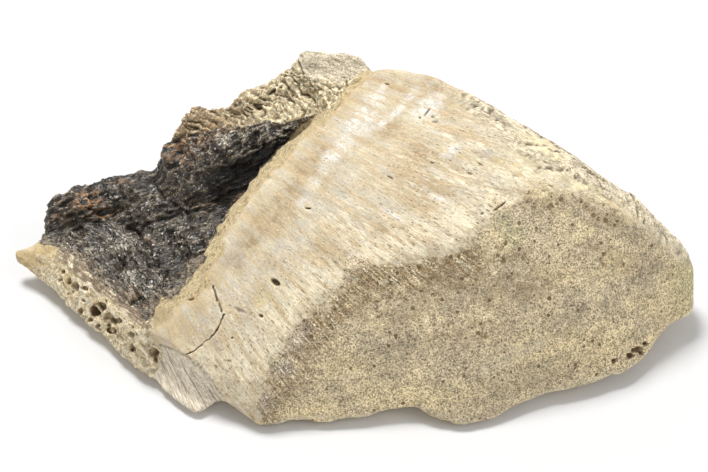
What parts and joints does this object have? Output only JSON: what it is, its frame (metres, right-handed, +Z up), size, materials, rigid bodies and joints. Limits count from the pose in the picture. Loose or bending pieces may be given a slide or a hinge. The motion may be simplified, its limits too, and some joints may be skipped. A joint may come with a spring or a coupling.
{
  "type": "fossil tyrannosaur bone section",
  "caption": "Chunk broken from the flared end of a large fossil limb bone: a smooth outer face, a pored joint face and a hollow torn in its spongy core.",
  "frame": {"origin": "on the ground, under the middle of the piece's bounding box", "axes": "+X along the piece from its thin left tip to its blunt right end, +Y from its front to its back, +Z up from its flat resting spot"},
  "size_m": [0.1348, 0.0638, 0.0459],
  "materials": {
    "fossil_bone": "matt weathered fossil bone, cream to tan, with a glossy dark brown torn core"
  },
  "bodies": {
    "root": {"bone_section": "fossil_bone"}
  },
  "joints": []
}
